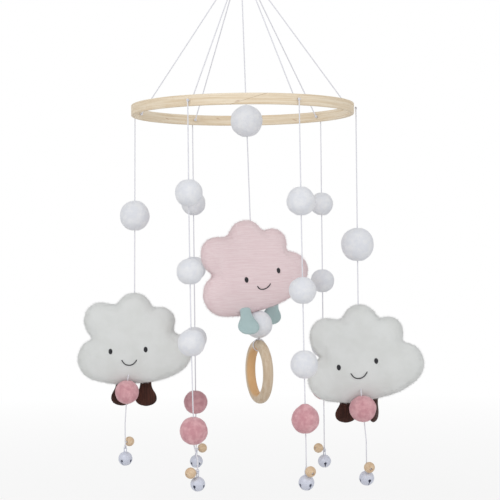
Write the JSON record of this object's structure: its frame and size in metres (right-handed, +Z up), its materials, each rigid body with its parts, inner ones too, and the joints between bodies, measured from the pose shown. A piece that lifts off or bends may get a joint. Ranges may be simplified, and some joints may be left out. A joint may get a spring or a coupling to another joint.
{
  "type": "crib mobile",
  "caption": "Wooden hoop on a hanging loop with felt balls, three stuffed clouds with dangling legs, wooden beads, jingle bells and a wooden teether ring on cords.",
  "frame": {"origin": "inside top of the hanging loop, where a crib arm or hook holds it", "axes": "+Z up; -Y towards the side the clouds' faces look to; +X to the right of that side"},
  "size_m": [0.3627, 0.2325, 0.5706],
  "materials": {
    "cord": "braided white cotton cord",
    "hoop_wood": "pale bent ash or bamboo, sanded, unvarnished",
    "ring_wood": "turned beech, sanded smooth",
    "bead_wood": "turned beech bead",
    "white_felt": "needled wool felt, matte",
    "pink_felt": "needled wool felt, matte",
    "white_plush": "short white plush, stuffed",
    "pink_plush": "fine pale pink knit, stuffed",
    "brown_plush": "dark brown ribbed velvet, stuffed",
    "mint_plush": "mint green plush, stuffed",
    "bell_metal": "pearly white lacquered steel",
    "pellet_metal": "plain steel pellet"
  },
  "bodies": {
    "hanging_loop": {"hanging_loop": "cord"},
    "hoop_frame": {"hoop": "hoop_wood", "suspension_cords": "cord"},
    "left_string": {"left_string": "cord", "left_white_ball": "white_felt", "left_pink_ball": "pink_felt", "left_bead": "bead_wood"},
    "left_cloud": {"left_cloud": "white_plush", "left_cloud_left_leg": "brown_plush", "left_cloud_right_leg": "brown_plush"},
    "left_bell": {"left_bell": "bell_metal"},
    "left_bell_pellet": {"left_bell_pellet": "pellet_metal"},
    "right_string": {"right_string": "cord", "right_white_ball": "white_felt", "right_pink_ball": "pink_felt", "right_bead": "bead_wood"},
    "right_cloud": {"right_cloud": "white_plush", "right_cloud_left_leg": "brown_plush", "right_cloud_right_leg": "brown_plush"},
    "right_bell": {"right_bell": "bell_metal"},
    "right_bell_pellet": {"right_bell_pellet": "pellet_metal"},
    "near_left_string": {"near_left_string": "cord", "near_left_white_ball_1": "white_felt", "near_left_white_ball_2": "white_felt", "near_left_white_ball_3": "white_felt", "near_left_pink_ball": "pink_felt", "near_left_bead": "bead_wood"},
    "near_left_bell": {"near_left_bell": "bell_metal"},
    "near_left_bell_pellet": {"near_left_bell_pellet": "pellet_metal"},
    "near_right_string": {"near_right_string": "cord", "near_right_white_ball_1": "white_felt", "near_right_white_ball_2": "white_felt", "near_right_white_ball_3": "white_felt", "near_right_pink_ball": "pink_felt", "near_right_bead": "bead_wood"},
    "near_right_bell": {"near_right_bell": "bell_metal"},
    "near_right_bell_pellet": {"near_right_bell_pellet": "pellet_metal"},
    "far_right_string": {"far_right_string": "cord", "far_right_white_ball_1": "white_felt", "far_right_white_ball_2": "white_felt", "far_right_white_ball_3": "white_felt", "far_right_pink_ball": "pink_felt", "far_right_bead": "bead_wood"},
    "far_right_bell": {"far_right_bell": "bell_metal"},
    "far_right_bell_pellet": {"far_right_bell_pellet": "pellet_metal"},
    "far_left_string": {"far_left_string": "cord", "far_left_white_ball_1": "white_felt", "far_left_white_ball_2": "white_felt", "far_left_white_ball_3": "white_felt", "far_left_pink_ball": "pink_felt", "far_left_bead": "bead_wood"},
    "far_left_bell": {"far_left_bell": "bell_metal"},
    "far_left_bell_pellet": {"far_left_bell_pellet": "pellet_metal"},
    "centre_drop": {"centre_cord": "cord", "centre_white_ball": "white_felt", "centre_lower_ball": "white_felt"},
    "centre_cloud": {"centre_cloud": "pink_plush", "centre_cloud_left_leg": "mint_plush", "centre_cloud_right_leg": "mint_plush"},
    "teether_ring": {"teether_ring": "ring_wood"}
  },
  "joints": [
    {"name": "mobile_turn", "type": "hinge", "parent": "hanging_loop", "child": "hoop_frame", "pos_m": [0, 0, 0], "axis": [0, 0, 1], "continuous": true},
    {"name": "left_swing", "type": "hinge", "parent": "hoop_frame", "child": "left_string", "pos_m": [-0.11367, 0.02729, -0.184], "axis": [0.2334, 0.9724, 0], "range_deg": [-2, 20]},
    {"name": "left_cloud_turn", "type": "hinge", "parent": "left_string", "child": "left_cloud", "pos_m": [-0.11617, 0.02729, -0.371], "axis": [0.0768, 0.1425, 0.9868], "continuous": true},
    {"name": "left_bell_swing", "type": "hinge", "parent": "left_string", "child": "left_bell", "pos_m": [-0.12667, 0.01429, -0.5342], "axis": [0.4695, 0.8829, 0], "range_deg": [-25, 25]},
    {"name": "left_pellet_roll", "type": "hinge", "parent": "left_bell", "child": "left_bell_pellet", "pos_m": [-0.12667, 0.01429, -0.545], "axis": [0.4695, 0.8829, 0], "range_deg": [-60, 60]},
    {"name": "right_swing", "type": "hinge", "parent": "hoop_frame", "child": "right_string", "pos_m": [0.11646, -0.01019, -0.184], "axis": [-0.0872, -0.9962, 0], "range_deg": [-2, 20]},
    {"name": "right_cloud_turn", "type": "hinge", "parent": "right_string", "child": "right_cloud", "pos_m": [0.11646, -0.01019, -0.383], "axis": [-0.0107, 0.1704, 0.9853], "continuous": true},
    {"name": "right_bell_swing", "type": "hinge", "parent": "right_string", "child": "right_bell", "pos_m": [0.12195, -0.02619, -0.55045], "axis": [0.2588, -0.9659, 0], "range_deg": [-25, 25]},
    {"name": "right_pellet_roll", "type": "hinge", "parent": "right_bell", "child": "right_bell_pellet", "pos_m": [0.12195, -0.02619, -0.5615], "axis": [0.2588, -0.9659, 0], "range_deg": [-60, 60]},
    {"name": "near_left_swing", "type": "hinge", "parent": "hoop_frame", "child": "near_left_string", "pos_m": [-0.05216, -0.10462, -0.184], "axis": [-0.8949, 0.4462, 0], "range_deg": [-8, 20]},
    {"name": "near_left_bell_swing", "type": "hinge", "parent": "near_left_string", "child": "near_left_bell", "pos_m": [-0.04666, -0.10462, -0.54195], "axis": [-0.788, -0.6157, 0], "range_deg": [-25, 25]},
    {"name": "near_left_pellet_roll", "type": "hinge", "parent": "near_left_bell", "child": "near_left_bell_pellet", "pos_m": [-0.04666, -0.10462, -0.5525], "axis": [-0.788, -0.6157, 0], "range_deg": [-60, 60]},
    {"name": "near_right_swing", "type": "hinge", "parent": "hoop_frame", "child": "near_right_string", "pos_m": [0.05488, -0.10322, -0.184], "axis": [-0.8829, -0.4695, 0], "range_deg": [-8, 20]},
    {"name": "near_right_bell_swing", "type": "hinge", "parent": "near_right_string", "child": "near_right_bell", "pos_m": [0.05768, -0.10322, -0.54145], "axis": [0.4695, -0.8829, 0], "range_deg": [-25, 25]},
    {"name": "near_right_pellet_roll", "type": "hinge", "parent": "near_right_bell", "child": "near_right_bell_pellet", "pos_m": [0.05768, -0.10322, -0.5525], "axis": [0.4695, -0.8829, 0], "range_deg": [-60, 60]},
    {"name": "far_right_swing", "type": "hinge", "parent": "hoop_frame", "child": "far_right_string", "pos_m": [0.0848, 0.08047, -0.184], "axis": [0.6884, -0.7254, 0], "range_deg": [-8, 20]},
    {"name": "far_right_bell_swing", "type": "hinge", "parent": "far_right_string", "child": "far_right_bell", "pos_m": [0.0848, 0.08047, -0.54945], "axis": [-0.8192, -0.5736, 0], "range_deg": [-25, 25]},
    {"name": "far_right_pellet_roll", "type": "hinge", "parent": "far_right_bell", "child": "far_right_bell_pellet", "pos_m": [0.0848, 0.08047, -0.56], "axis": [-0.8192, -0.5736, 0], "range_deg": [-60, 60]},
    {"name": "far_left_swing", "type": "hinge", "parent": "hoop_frame", "child": "far_left_string", "pos_m": [-0.05614, 0.10254, -0.184], "axis": [0.8771, 0.4802, 0], "range_deg": [-8, 20]},
    {"name": "far_left_bell_swing", "type": "hinge", "parent": "far_left_string", "child": "far_left_bell", "pos_m": [-0.05614, 0.10254, -0.55135], "axis": [0.8192, 0.5736, 0], "range_deg": [-25, 25]},
    {"name": "far_left_pellet_roll", "type": "hinge", "parent": "far_left_bell", "child": "far_left_bell_pellet", "pos_m": [-0.05614, 0.10254, -0.562], "axis": [0.8192, 0.5736, 0], "range_deg": [-60, 60]},
    {"name": "centre_swing", "type": "hinge", "parent": "hoop_frame", "child": "centre_drop", "pos_m": [0, 0, -0.0334], "axis": [1, 0, 0], "range_deg": [-8, 8]},
    {"name": "centre_cloud_turn", "type": "hinge", "parent": "centre_drop", "child": "centre_cloud", "pos_m": [0.0065, 0, -0.2945], "axis": [-0.0775, 0, 0.997], "range_deg": [-3, 25]},
    {"name": "ring_swing", "type": "hinge", "parent": "centre_drop", "child": "teether_ring", "pos_m": [0.014, 0, -0.42675], "axis": [0.3256, -0.9455, 0], "range_deg": [-25, 25]}
  ]
}
